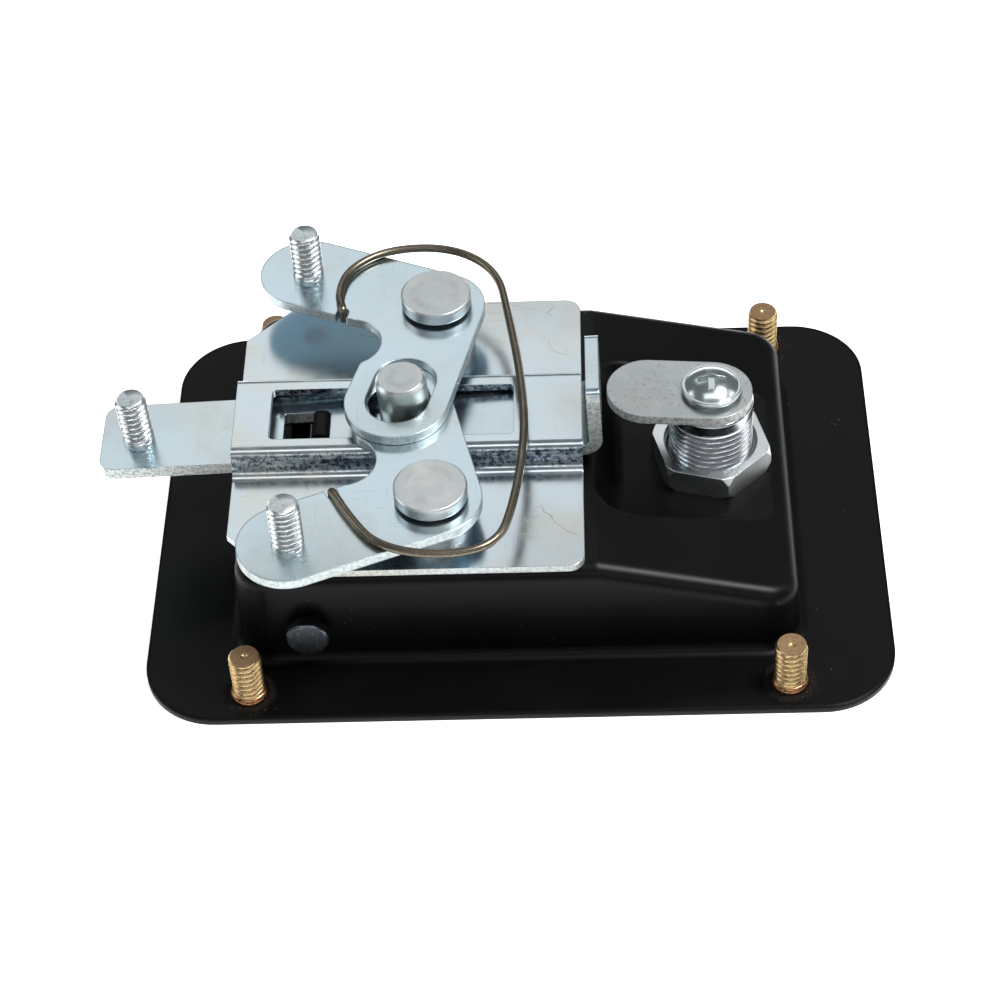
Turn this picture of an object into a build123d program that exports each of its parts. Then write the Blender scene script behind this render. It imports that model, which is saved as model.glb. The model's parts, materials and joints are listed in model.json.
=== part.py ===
"""Recessed three-point paddle latch, seen from the rear of the door it is fitted in.

Millimetres.  The origin is the centre of the four weld studs, on the rear face of the flange.
+Z points to the rear of the door, +X runs along the slide bar towards the key lock, and +Y is up the door.
"""
import os
from math import atan, cos, degrees, radians, sin, tan

from build123d import *

os.makedirs("parts", exist_ok=True)

# ---------------------------------------------------------------- pressed pan
sheet = 1.5
flange_length = 140.0
flange_width = 103.0
flange_corner = 14.0
dish_length = 105.2
dish_width = 74.2
dish_corner = 6.5
dish_draft = 2.0
roof_z = 21.3
roof_edge_radius = 3.0
foot_radius = 2.0
mouth_radius = 2.5
slope_start_x = 15.0
slope_angle = 13.1

# ---------------------------------------------------------------- weld studs
stud_spacing_x = 100.0
stud_spacing_y = 90.0
stud_diameter = 6.0
stud_length = 10.2
stud_tip_chamfer = 0.5
dimple_diameter = 1.3
dimple_depth = 0.5

# ---------------------------------------------------------------- slide bar
bar_thickness = 2.5
bar_width = 17.4
bar_corner = 3.0
bar_left_x = -79.0
bar_gap = 0.15
bar_rest_x = -49.0
tab_right_x = 16.7
tab_height = 12.8
tab_corner = 2.0
tab_bend_radius = 1.2

# ---------------------------------------------------------------- guide plate
plate_left_x = -53.2
plate_right_x = 12.8
channel_height = 5.2
plate_width = 72.0
plate_chamfer = 9.6
plate_corner = 3.0
channel_side_gap = 0.5
channel_bend = 2.2
window_left_x = -46.3
window_right_x = -0.1
window_width = 13.4
window_corner = 1.0

# ---------------------------------------------------------------- levers and their pivots
lever_thickness = 2.0
pivot_x = -15.0
pivot_y = 25.0
pivot_shank_diameter = 8.0
pivot_running_gap = 0.25
rivet_head_diameter = 13.6
rivet_head_height = 2.4
rivet_head_chamfer = 0.3
rivet_head_gap = 0.8
rivet_tail_diameter = 11.0
rivet_tail_height = 1.4
spacer_diameter = 14.2
lower_lever_z = 28.2
lever_stack_gap = 0.1
lever_face_gap = 0.05
hub_radius = 9.4
lobe_radius = 9.5
lobe_x = -25.6
lobe_y = 10.5
slot_end_x = -7.0
slot_end_y = -26.5
slot_end_radius = 9.9
slot_clearance = 1.2
slot_straight = 5.5
slot_x = -6.9
slot_y = -26.4
scoop_x = -16.8
scoop_y = -9.95
scoop_radius = 6.35
web_angle = 54.0
web_reach = 8.0
scoop_corner = 2.0
notch_x = -18.2
notch_y = -1.5
notch_width = 2.3
notch_length = 4.0
notch_bearing = 67.7

# ---------------------------------------------------------------- rod studs and drive pin
rod_stud_diameter = 6.0
rod_stud_length = 10.2
rod_stud_chamfer = 0.7
rod_stud_rivet_diameter = 5.0
slide_stud_x = -72.0
drive_pin_x = -20.45
drive_pin_diameter = 9.6
drive_pin_length = 11.8
drive_pin_chamfer = 0.6
drive_pin_rivet_diameter = 6.5

# ---------------------------------------------------------------- bow spring
wire_diameter = 1.6
wire_gap = 0.1
hook_depth = 1.2
bow_high_y = 30.0
bow_low_y = 32.5

# ---------------------------------------------------------------- paddle, tongue and hinge pin
hinge_x = -38.8
hinge_z = 8.4
hinge_diameter = 4.9
hinge_running_gap = 0.05
hinge_head_diameter = 8.0
hinge_head_height = 2.0
hinge_shoulder_diameter = 6.6
hinge_shoulder_height = 1.1
hinge_tail_diameter = 6.6
hinge_tail_height = 1.2
paddle_left_x = -47.0
paddle_right_x = 16.0
paddle_side_gap = 1.3
paddle_sink = 0.2
paddle_corner = 3.0
paddle_lip = 7.0
paddle_bend = 3.0
ear_left_x = -45.0
ear_right_x = -31.0
ear_height = 14.0
tongue_thickness = 3.0
tongue_width = 6.5
tongue_wall_gap = 0.3
tongue_tip_radius = 0.8
tongue_boss_diameter = 9.4
tongue_above_bar = 1.0
tongue_foot_length = 14.0
tongue_hole_length = 8.9
tongue_hole_width = 8.0
tongue_hole_right_x = -35.1
roof_slot_left_x = -43.0
roof_slot_right_x = -27.0
roof_slot_width = 11.0

# ---------------------------------------------------------------- key lock
lock_x = 37.2
pocket_left_x = 19.2
pocket_width = 34.0
pocket_corner = 3.6
pocket_floor_radius = 2.6
pocket_depth = 7.8
pocket_draft = 30.0
barrel_diameter = 15.9
barrel_end_z = 29.45
barrel_hole_gap = 0.1
lock_head_diameter = 20.0
lock_head_height = 2.7
lock_head_chamfer = 0.5
plug_diameter = 11.4
plug_running_gap = 0.06
plug_neck_diameter = 9.0
plug_neck_length = 2.5
plug_square = 7.0
keyway_width = 2.2
keyway_height = 8.4
keyway_depth = 15.0
wafer_count = 5
wafer_thickness = 0.8
wafer_width = 5.4
wafer_height = 10.2
wafer_pitch = 2.6
wafer_first = 3.0
wafer_window_width = 2.6
wafer_window_height = 6.4
nut_across_flats = 20.5
nut_height = 5.2
nut_angle = 44.5
nut_chamfer_angle = 20.0
nut_hole_gap = 0.1
nut_hole_chamfer = 0.9
cam_thickness = 1.9
cam_gap = 0.15
cam_radius = 7.7
cam_centres = 12.0
cam_skew = 5.0
cam_square_gap = 0.04
washer_diameter = 10.4
washer_thickness = 0.8
screw_flange_diameter = 11.4
screw_flange_height = 0.7
screw_dome_diameter = 10.0
screw_dome_height = 1.7
screw_shank_diameter = 5.0
screw_shank_length = 8.0
recess_span = 5.2
recess_width = 1.3
recess_depth = 1.5

# ---------------------------------------------------------------- derived places
plate_top_z = roof_z + sheet
channel_inner_z = roof_z + channel_height
channel_top_z = channel_inner_z + sheet
channel_inner_y = bar_width / 2 + channel_side_gap
channel_outer_y = channel_inner_y + sheet
bar_lean = degrees(atan((channel_height - bar_thickness - 2 * bar_gap) / (plate_right_x - bar_rest_x)))
inner_roof_z = roof_z - sheet
upper_lever_z = lower_lever_z + lever_thickness + lever_stack_gap
dish_y_at_hinge = dish_width / 2 - (hinge_z + sheet - hinge_head_diameter / 2) * tan(radians(dish_draft))
pocket_grow = sheet * (1 / cos(radians(pocket_draft)) - tan(radians(pocket_draft)))
paddle_half_width = dish_width / 2 - sheet - paddle_side_gap
paddle_front_z = -sheet + paddle_sink
paddle_back_z = paddle_front_z + sheet
pocket_floor_z = roof_z - pocket_depth
lock_front_z = pocket_floor_z - sheet - lock_head_height
cam_z = barrel_end_z + cam_gap
cam_top_z = cam_z + cam_thickness
screw_seat_z = cam_top_z + washer_thickness
rise = sin(radians(bar_lean))
run = cos(radians(bar_lean))

# The bar leans by its play: its underside rests on the roof's left end and its top meets the channel's right end.
bar_side = Plane(origin=(bar_rest_x, 0, roof_z + bar_gap), x_dir=(run, 0, rise), z_dir=(0, -1, 0))
bar_top = Plane(
    origin=(bar_rest_x - rise * bar_thickness, 0, roof_z + bar_gap + run * bar_thickness),
    x_dir=(run, 0, rise),
    z_dir=(-rise, 0, run),
)


def along_bar(x):
    """Distance along the leaning bar, from its frame's origin, of the point whose row X is x."""
    return (x - bar_rest_x) / run


def lever_plane(side, z):
    """Plane of a lever's face at height z, centred on its pivot; side is +1 for the upper lever."""
    return Plane(origin=(pivot_x, side * pivot_y, z))


def write(part, label):
    """Name a finished piece and write its STEP file."""
    part.label = label
    export_step(part, f"parts/{label}.step")


# ================================================================ pan
def dish_solid(inset, top_z, corner):
    """The dish as a solid block: drafted walls, a flat roof and its slope towards the lock end."""
    with BuildPart() as block:
        with BuildSketch(Plane.XY.offset(-sheet)):
            RectangleRounded(dish_length - 2 * inset, dish_width - 2 * inset, corner)
        extrude(amount=top_z + sheet, taper=dish_draft)
        with BuildSketch(Plane.XZ) as slope:
            with BuildLine():
                far_x = dish_length
                drop = (far_x - slope_start_x) * tan(radians(slope_angle))
                Polyline(
                    (slope_start_x, top_z),
                    (far_x, top_z - drop),
                    (far_x, top_z + sheet),
                    (slope_start_x, top_z + sheet),
                    close=True,
                )
            make_face()
        extrude(slope.sketch, amount=dish_width, both=True, mode=Mode.SUBTRACT)
        roof_rim = block.faces().filter_by(lambda f: f.normal_at().Z > 0.9).edges()
        shared = block.edges().filter_by(Axis.Y).filter_by_position(Axis.X, slope_start_x - 1, slope_start_x + 1)
        rim = [edge for edge in roof_rim if edge not in shared]
        fillet(rim, radius=roof_edge_radius - inset)
    return block.part


def pocket_solid(grow, floor_z):
    """The recess round the lock, as the solid that it takes out of the dish."""
    with BuildPart() as recess:
        with BuildSketch(Plane.XY.offset(floor_z)):
            with Locations(((pocket_left_x + dish_length) / 2 - grow / 2, 0)):
                RectangleRounded(
                    dish_length - pocket_left_x + grow, pocket_width + 2 * grow, pocket_corner + grow
                )
        extrude(amount=roof_z - floor_z + sheet, taper=-pocket_draft)
    return recess.part


with BuildPart() as dish_outer:
    add(dish_solid(0, roof_z, dish_corner))
    add(pocket_solid(0, pocket_floor_z), mode=Mode.SUBTRACT)
    pocket_floor = dish_outer.faces().sort_by_distance((lock_x, 0, pocket_floor_z))[0]
    floor_rim = [e for e in pocket_floor.edges() if e.center().X < dish_length / 2 - pocket_floor_radius - 3]
    fillet(floor_rim, radius=pocket_floor_radius)

with BuildPart() as dish_inner:
    add(dish_solid(sheet, inner_roof_z, dish_corner - sheet))
    add(pocket_solid(pocket_grow, pocket_floor_z - sheet), mode=Mode.SUBTRACT)

with BuildPart() as pan:
    with BuildSketch(Plane.XY.offset(-sheet)):
        RectangleRounded(flange_length, flange_width, flange_corner)
    extrude(amount=sheet)
    add(dish_outer.part)
    foot = pan.edges().filter_by_position(Axis.Z, -0.01, 0.01)
    foot = [e for e in foot if abs(e.center().X) < dish_length / 2 + 1 and abs(e.center().Y) < dish_width / 2 + 1]
    fillet(foot, radius=foot_radius)
    add(dish_inner.part, mode=Mode.SUBTRACT)
    mouth = pan.edges().filter_by_position(Axis.Z, -sheet - 0.01, -sheet + 0.01)
    mouth = [e for e in mouth if abs(e.center().X) < dish_length / 2 and abs(e.center().Y) < dish_width / 2]
    fillet(mouth, radius=mouth_radius)
    # way for the tongue through the roof
    with BuildSketch(Plane.XY.offset(inner_roof_z)):
        with Locations(((roof_slot_left_x + roof_slot_right_x) / 2, 0)):
            RectangleRounded(roof_slot_right_x - roof_slot_left_x, roof_slot_width, 1.0)
    extrude(amount=2 * sheet, both=True, mode=Mode.SUBTRACT)
    # holes for the pivot rivets, the lock and the hinge pin
    with BuildSketch(Plane.XY.offset(inner_roof_z)):
        with Locations((pivot_x, pivot_y), (pivot_x, -pivot_y)):
            Circle(pivot_shank_diameter / 2)
        with Locations((lock_x, 0)):
            Circle(barrel_diameter / 2 + barrel_hole_gap)
    extrude(amount=2 * sheet + inner_roof_z - pocket_floor_z, both=True, mode=Mode.SUBTRACT)
    with BuildSketch(Plane.XZ):
        with Locations((hinge_x, hinge_z)):
            Circle(hinge_diameter / 2)
    extrude(amount=dish_width, both=True, mode=Mode.SUBTRACT)
write(pan.part, "pan")

# ================================================================ weld studs
with BuildPart() as mounting_studs:
    with GridLocations(stud_spacing_x, stud_spacing_y, 2, 2):
        Cylinder(stud_diameter / 2, stud_length, align=(Align.CENTER, Align.CENTER, Align.MIN))
    chamfer(mounting_studs.edges().group_by(Axis.Z)[-1], length=stud_tip_chamfer)
    with Locations(Plane.XY.offset(stud_length)):
        with GridLocations(stud_spacing_x, stud_spacing_y, 2, 2):
            Cone(
                0.1,
                dimple_diameter / 2,
                dimple_depth,
                align=(Align.CENTER, Align.CENTER, Align.MAX),
                mode=Mode.SUBTRACT,
            )
write(mounting_studs.part, "mounting_studs")

# ================================================================ guide plate
with BuildPart() as guide_plate:
    with BuildSketch(Plane.YZ.offset(plate_left_x)):
        with BuildLine():
            top_face = FilletPolyline(
                (-plate_width / 2, plate_top_z),
                (-channel_outer_y, plate_top_z),
                (-channel_outer_y, channel_top_z),
                (channel_outer_y, channel_top_z),
                (channel_outer_y, plate_top_z),
                (plate_width / 2, plate_top_z),
                radius=channel_bend,
            )
            Line(top_face @ 1, (plate_width / 2, roof_z))
            under_face = FilletPolyline(
                (plate_width / 2, roof_z),
                (channel_inner_y, roof_z),
                (channel_inner_y, channel_inner_z),
                (-channel_inner_y, channel_inner_z),
                (-channel_inner_y, roof_z),
                (-plate_width / 2, roof_z),
                radius=channel_bend - sheet + 0.3,
            )
            Line(under_face @ 1, top_face @ 0)
        make_face()
    extrude(amount=plate_right_x - plate_left_x)
    upright = guide_plate.edges().filter_by(Axis.Z).filter_by_position(Axis.Z, roof_z, plate_top_z)
    left_corners = upright.filter_by_position(Axis.X, plate_left_x - 0.1, plate_left_x + 0.1)
    outer_left = [e for e in left_corners if abs(e.center().Y) > plate_width / 2 - 0.1]
    chamfer(outer_left, length=plate_chamfer)
    right_corners = guide_plate.edges().filter_by(Axis.Z).filter_by_position(
        Axis.X, plate_right_x - 0.1, plate_right_x + 0.1
    )
    outer_right = [e for e in right_corners if abs(e.center().Y) > plate_width / 2 - 0.1]
    fillet(outer_right, radius=plate_corner)
    with BuildSketch(Plane.XY.offset(channel_inner_z)):
        with Locations(((window_left_x + window_right_x) / 2, 0)):
            RectangleRounded(window_right_x - window_left_x, window_width, window_corner)
    extrude(amount=sheet, both=True, mode=Mode.SUBTRACT)
    with BuildSketch(Plane.XY.offset(roof_z)):
        with Locations((pivot_x, pivot_y), (pivot_x, -pivot_y)):
            Circle(pivot_shank_diameter / 2)
    extrude(amount=sheet, both=True, mode=Mode.SUBTRACT)
write(guide_plate.part, "guide_plate")

# ================================================================ slide bar with its upturned tab
tab_right = along_bar(tab_right_x)
with BuildPart() as slide_bar:
    with BuildSketch(bar_side):
        with BuildLine():
            Polyline(
                (along_bar(bar_left_x), 0),
                (tab_right, 0),
                (tab_right, tab_height + bar_thickness),
                (tab_right - bar_thickness, tab_height + bar_thickness),
                (tab_right - bar_thickness, bar_thickness),
                (along_bar(bar_left_x), bar_thickness),
                close=True,
            )
        make_face()
    extrude(amount=bar_width / 2, both=True)
    across = slide_bar.edges().filter_by(Axis.Y)
    outer_bend = across.sort_by_distance((tab_right_x, 0, channel_inner_z - bar_thickness))[0]
    fillet(outer_bend, radius=tab_bend_radius + bar_thickness)
    inner_bend = slide_bar.edges().filter_by(Axis.Y).sort_by_distance(
        (tab_right_x - bar_thickness, 0, channel_inner_z)
    )[0]
    fillet(inner_bend, radius=tab_bend_radius)
    end_corners = slide_bar.faces().sort_by(Axis.X)[0].edges().filter_by(lambda e: abs(e.tangent_at(0).Z) > 0.9)
    fillet(end_corners, radius=bar_corner)
    tab_corners = slide_bar.faces().sort_by(Axis.Z)[-1].edges().filter_by(lambda e: abs(e.tangent_at(0).X) > 0.9)
    fillet(tab_corners, radius=tab_corner)
    with BuildSketch(bar_top):
        with Locations((along_bar(tongue_hole_right_x) - tongue_hole_length / 2, 0)):
            RectangleRounded(tongue_hole_length, tongue_hole_width, 0.5)
        with Locations((along_bar(drive_pin_x), 0)):
            Circle(drive_pin_rivet_diameter / 2)
        with Locations((along_bar(slide_stud_x), 0)):
            Circle(rod_stud_rivet_diameter / 2)
    extrude(amount=bar_thickness, both=True, mode=Mode.SUBTRACT)
write(slide_bar.part, "slide_bar")

with BuildPart() as drive_pin:
    with BuildSketch(bar_top):
        with Locations((along_bar(drive_pin_x), 0)):
            Circle(drive_pin_diameter / 2)
    extrude(amount=drive_pin_length)
    chamfer(drive_pin.edges().sort_by(Axis.Z)[-1], length=drive_pin_chamfer)
    with BuildSketch(bar_top):
        with Locations((along_bar(drive_pin_x), 0)):
            Circle(drive_pin_rivet_diameter / 2)
    extrude(amount=-bar_thickness)
write(drive_pin.part, "drive_pin")

with BuildPart() as slide_rod_stud:
    with BuildSketch(bar_top):
        with Locations((along_bar(slide_stud_x), 0)):
            Circle(rod_stud_diameter / 2)
    extrude(amount=rod_stud_length)
    chamfer(slide_rod_stud.edges().sort_by(Axis.Z)[-1], length=rod_stud_chamfer)
    with BuildSketch(bar_top):
        with Locations((along_bar(slide_stud_x), 0)):
            Circle(rod_stud_rivet_diameter / 2)
    extrude(amount=-bar_thickness)
write(slide_rod_stud.part, "slide_rod_stud")

# ================================================================ the two bell-crank levers, mirror images
slot_width = drive_pin_diameter + 2 * slot_clearance
slot_bearing = degrees(atan(slot_y / slot_x))


def make_lever(side, z, label):
    """One lever: a hub with an arm to its rod stud and an arm to the drive pin, cut to clear the spring's end."""
    blank = lever_plane(side, z)
    with BuildPart() as lever:
        with BuildSketch(blank):
            Circle(hub_radius)
            with Locations((lobe_x, side * lobe_y)):
                Circle(lobe_radius)
            make_hull()
        extrude(amount=lever_thickness)
        with BuildSketch(blank):
            Circle(hub_radius)
            with Locations((slot_end_x, side * slot_end_y)):
                Circle(slot_end_radius)
            make_hull()
        extrude(amount=lever_thickness)
        web_x, web_y = scoop_radius * cos(radians(web_angle)), scoop_radius * sin(radians(web_angle))
        web = [(web_x, web_y), (web_reach, web_y), (web_reach, 1), (web_x, 1)]
        with BuildSketch(blank):
            with BuildLine():
                Polyline([(scoop_x + x, side * (scoop_y + y)) for x, y in web], close=True)
            make_face()
        extrude(amount=lever_thickness)
        with BuildSketch(blank):
            with Locations((scoop_x, side * scoop_y)):
                Circle(scoop_radius)
        extrude(amount=lever_thickness, mode=Mode.SUBTRACT)
        upright = lever.edges().filter_by(Axis.Z)
        scoop = Vector(pivot_x + scoop_x, side * (pivot_y + scoop_y), z + lever_thickness / 2)
        lips = [e for e in upright if abs((e.center() - scoop).length - scoop_radius) < 0.05]
        lips = [e for e in lips if side * (e.center() - scoop).Y < 0]
        fillet(lips, radius=scoop_corner)
        with BuildSketch(blank):
            Circle(pivot_shank_diameter / 2 + pivot_running_gap)
            with Locations((lobe_x, side * lobe_y)):
                Circle(rod_stud_rivet_diameter / 2)
            with Locations(Location((slot_x, side * slot_y), side * slot_bearing)):
                with Locations((slot_straight / 2, 0)):
                    SlotCenterToCenter(slot_straight, slot_width)
            with Locations(Location((notch_x, side * notch_y), side * (notch_bearing + 180))):
                with Locations((notch_length / 2, 0)):
                    SlotCenterToCenter(notch_length, notch_width)
        extrude(amount=lever_thickness, mode=Mode.SUBTRACT)
    write(lever.part, label)


def make_rod_stud(side, z, label):
    """A threaded stud for a lock rod, riveted into a lever's lobe."""
    seat = lever_plane(side, z)
    top = seat.offset(lever_thickness)
    with BuildPart() as stud:
        with BuildSketch(top):
            with Locations((lobe_x, side * lobe_y)):
                Circle(rod_stud_diameter / 2)
        extrude(amount=rod_stud_length)
        chamfer(stud.edges().sort_by(Axis.Z)[-1], length=rod_stud_chamfer)
        with BuildSketch(top):
            with Locations((lobe_x, side * lobe_y)):
                Circle(rod_stud_rivet_diameter / 2)
        extrude(amount=-lever_thickness)
    write(stud.part, label)


def make_pivot(side, z, name):
    """A shouldered pivot: a spacer tube on the guide plate and the rivet that goes through lever, plate and roof."""
    spacer_top = z - lever_face_gap
    head_z = z + lever_thickness + rivet_head_gap
    with BuildPart() as spacer:
        with BuildSketch(Plane.XY.offset(plate_top_z)):
            with Locations((pivot_x, side * pivot_y)):
                Circle(spacer_diameter / 2)
                Circle(pivot_shank_diameter / 2, mode=Mode.SUBTRACT)
        extrude(amount=spacer_top - plate_top_z)
    write(spacer.part, f"{name}_pivot_spacer")
    with BuildPart() as rivet:
        with BuildSketch(Plane.XY.offset(inner_roof_z)):
            with Locations((pivot_x, side * pivot_y)):
                Circle(pivot_shank_diameter / 2)
        extrude(amount=head_z - inner_roof_z)
        with BuildSketch(Plane.XY.offset(head_z)):
            with Locations((pivot_x, side * pivot_y)):
                Circle(rivet_head_diameter / 2)
        extrude(amount=rivet_head_height)
        chamfer(rivet.edges().sort_by(Axis.Z)[-1], length=rivet_head_chamfer)
        with BuildSketch(Plane.XY.offset(inner_roof_z)):
            with Locations((pivot_x, side * pivot_y)):
                Circle(rivet_tail_diameter / 2)
        extrude(amount=-rivet_tail_height)
        fillet(rivet.edges().sort_by(Axis.Z)[0], radius=rivet_tail_height * 0.6)
    write(rivet.part, f"{name}_pivot_rivet")


for side, z, name in ((1, upper_lever_z, "upper"), (-1, lower_lever_z, "lower")):
    make_lever(side, z, f"{name}_lever")
    make_rod_stud(side, z, f"{name}_rod_stud")
    make_pivot(side, z, name)

# ================================================================ bow spring of round wire
hook_x = pivot_x + notch_x
hook_y = pivot_y + notch_y
wire_upper_z = upper_lever_z + lever_thickness + wire_diameter / 2 + wire_gap
wire_lower_z = lower_lever_z + lever_thickness + wire_diameter / 2 + wire_gap


def wire_point(x, y):
    """A point of the bow's centre line, which climbs from the lower lever's face to the upper lever's."""
    share = min(1, max(0, (y / hook_y + 1) / 2))
    return (x, y, wire_lower_z + share * (wire_upper_z - wire_lower_z))


with BuildPart() as wire_spring:
    with BuildLine() as bow:
        FilletPolyline(
            (hook_x, hook_y, upper_lever_z - hook_depth),
            wire_point(hook_x, hook_y),
            wire_point(-34.0, 34.0),
            wire_point(-25.0, 42.8),
            wire_point(-9.5, 41.8),
            wire_point(-2.6, bow_high_y),
            wire_point(2.4, -5.0),
            wire_point(0.2, -bow_low_y),
            wire_point(-6.5, -40.2),
            wire_point(-20.5, -40.8),
            wire_point(-28.5, -32.5),
            wire_point(hook_x, -hook_y),
            (hook_x, -hook_y, lower_lever_z - hook_depth),
            radius=[1.0, 12.0, 11.0, 13.0, 16.0, 70.0, 12.0, 12.0, 12.0, 14.0, 1.0],
        )
    with BuildSketch(Plane(origin=bow.line @ 0, z_dir=bow.line % 0)):
        Circle(wire_diameter / 2)
    sweep()
write(wire_spring.part, "wire_spring")

# ================================================================ paddle, tongue and hinge pin
with BuildPart() as paddle:
    with BuildSketch(Plane.XY.offset(paddle_front_z)):
        with Locations(((paddle_left_x + paddle_right_x) / 2, 0)):
            RectangleRounded(paddle_right_x - paddle_left_x, 2 * paddle_half_width, paddle_corner)
    extrude(amount=sheet)
    # rolled finger lip at the free end
    with BuildSketch(Plane.XY.offset(paddle_front_z)):
        with Locations((paddle_right_x - sheet / 2, 0)):
            Rectangle(sheet, 2 * (paddle_half_width - paddle_corner))
    extrude(amount=paddle_lip)
    lip_root = paddle.edges().filter_by(Axis.Y).sort_by_distance((paddle_right_x, 0, paddle_front_z))[0]
    fillet(lip_root, radius=sheet * 0.9)
    # ears that carry the hinge pin
    with BuildSketch(Plane.XZ.offset(-paddle_half_width + sheet)) as ear:
        with BuildLine():
            Polyline(
                (ear_left_x, paddle_front_z),
                (ear_right_x, paddle_front_z),
                (ear_right_x, hinge_z - 2),
                (hinge_x + 3.5, ear_height),
                (hinge_x - 3.5, ear_height),
                (ear_left_x, hinge_z - 2),
                close=True,
            )
        make_face()
        with Locations((hinge_x, hinge_z)):
            Circle(hinge_diameter / 2 + hinge_running_gap, mode=Mode.SUBTRACT)
    extrude(amount=-sheet)
    mirror(about=Plane.XZ)
write(paddle.part, "paddle")

tongue_right_x = tongue_hole_right_x - tongue_wall_gap
tongue_left_x = tongue_right_x - tongue_thickness
bar_under_z = roof_z + bar_gap + along_bar(tongue_hole_right_x) * rise
tongue_tip_z = bar_under_z + bar_thickness + tongue_above_bar
with BuildPart() as paddle_tongue:
    with BuildSketch(Plane.XZ):
        with BuildLine():
            Polyline(
                (tongue_left_x, paddle_back_z),
                (tongue_left_x + tongue_foot_length, paddle_back_z),
                (tongue_left_x + tongue_foot_length, paddle_back_z + tongue_thickness),
                (tongue_right_x, paddle_back_z + tongue_thickness),
                (tongue_right_x, tongue_tip_z),
                (tongue_left_x, tongue_tip_z),
                close=True,
            )
        make_face()
        with Locations((hinge_x, hinge_z)):
            Circle(tongue_boss_diameter / 2)
            Circle(hinge_diameter / 2 + hinge_running_gap, mode=Mode.SUBTRACT)
    extrude(amount=tongue_width / 2, both=True)
    tip_edges = paddle_tongue.edges().filter_by(Axis.Y).group_by(Axis.Z)[-1]
    fillet(tip_edges, radius=tongue_tip_radius)
write(paddle_tongue.part, "paddle_tongue")

with BuildPart() as paddle_pin:
    wall_y = dish_y_at_hinge + 0.05
    with BuildSketch(Plane.XZ.offset(-wall_y)):
        with Locations((hinge_x, hinge_z)):
            Circle(hinge_diameter / 2)
    extrude(amount=2 * wall_y)
    with BuildSketch(Plane.XZ.offset(wall_y)):
        with Locations((hinge_x, hinge_z)):
            Circle(hinge_shoulder_diameter / 2)
    extrude(amount=hinge_shoulder_height)
    with BuildSketch(Plane.XZ.offset(wall_y + hinge_shoulder_height)):
        with Locations((hinge_x, hinge_z)):
            Circle(hinge_head_diameter / 2)
    extrude(amount=hinge_head_height)
    chamfer(paddle_pin.edges().sort_by(Axis.Y)[0], length=0.3)
    with BuildSketch(Plane.XZ.offset(-wall_y)):
        with Locations((hinge_x, hinge_z)):
            Circle(hinge_tail_diameter / 2)
    extrude(amount=-hinge_tail_height)
    fillet(paddle_pin.edges().sort_by(Axis.Y)[-1], radius=hinge_tail_height * 0.6)
write(paddle_pin.part, "paddle_pin")

# ================================================================ key lock
lock_centre = Plane(origin=(lock_x, 0, 0))
with BuildPart() as lock_barrel:
    with BuildSketch(lock_centre.offset(lock_front_z)):
        Circle(lock_head_diameter / 2)
    extrude(amount=lock_head_height)
    chamfer(lock_barrel.edges().sort_by(Axis.Z)[0], length=lock_head_chamfer)
    with BuildSketch(lock_centre.offset(pocket_floor_z - sheet)):
        Circle(barrel_diameter / 2)
    extrude(amount=barrel_end_z - pocket_floor_z + sheet)
    chamfer(lock_barrel.edges().sort_by(Axis.Z)[-1], length=0.3)
    with BuildSketch(lock_centre.offset(lock_front_z)):
        Circle(plug_diameter / 2 + plug_running_gap)
    extrude(amount=barrel_end_z - plug_neck_length - lock_front_z, mode=Mode.SUBTRACT)
    with BuildSketch(lock_centre.offset(lock_front_z)):
        Circle(plug_neck_diameter / 2 + plug_running_gap)
    extrude(amount=barrel_end_z - lock_front_z, mode=Mode.SUBTRACT)
write(lock_barrel.part, "lock_barrel")

plug_shoulder_z = barrel_end_z - plug_neck_length - plug_running_gap
wafer_zs = [lock_front_z + wafer_first + i * wafer_pitch for i in range(wafer_count)]
with BuildPart() as lock_plug:
    with BuildSketch(lock_centre.offset(lock_front_z)):
        Circle(plug_diameter / 2)
    extrude(amount=plug_shoulder_z - lock_front_z)
    with BuildSketch(lock_centre.offset(plug_shoulder_z)):
        Circle(plug_neck_diameter / 2)
    extrude(amount=cam_z - plug_shoulder_z)
    with BuildSketch(lock_centre.offset(cam_z)):
        Rectangle(plug_square, plug_square, rotation=-cam_skew)
    extrude(amount=cam_thickness - cam_square_gap)
    with BuildSketch(lock_centre.offset(lock_front_z)):
        Rectangle(keyway_height, keyway_width)
    extrude(amount=keyway_depth, mode=Mode.SUBTRACT)
    for wafer_z in wafer_zs:
        with BuildSketch(lock_centre.offset(wafer_z)):
            Rectangle(wafer_height, wafer_width)
        extrude(amount=wafer_thickness, mode=Mode.SUBTRACT)
    with BuildSketch(lock_centre.offset(cam_top_z)):
        Circle(screw_shank_diameter / 2)
    extrude(amount=-screw_shank_length, mode=Mode.SUBTRACT)
write(lock_plug.part, "lock_plug")

with BuildPart() as wafer_tumblers:
    for wafer_z in wafer_zs:
        with BuildSketch(lock_centre.offset(wafer_z)):
            Rectangle(wafer_height - 0.1, wafer_width - 0.1)
            Rectangle(wafer_window_height, wafer_window_width, mode=Mode.SUBTRACT)
        extrude(amount=wafer_thickness)
write(wafer_tumblers.part, "wafer_tumblers")

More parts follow.
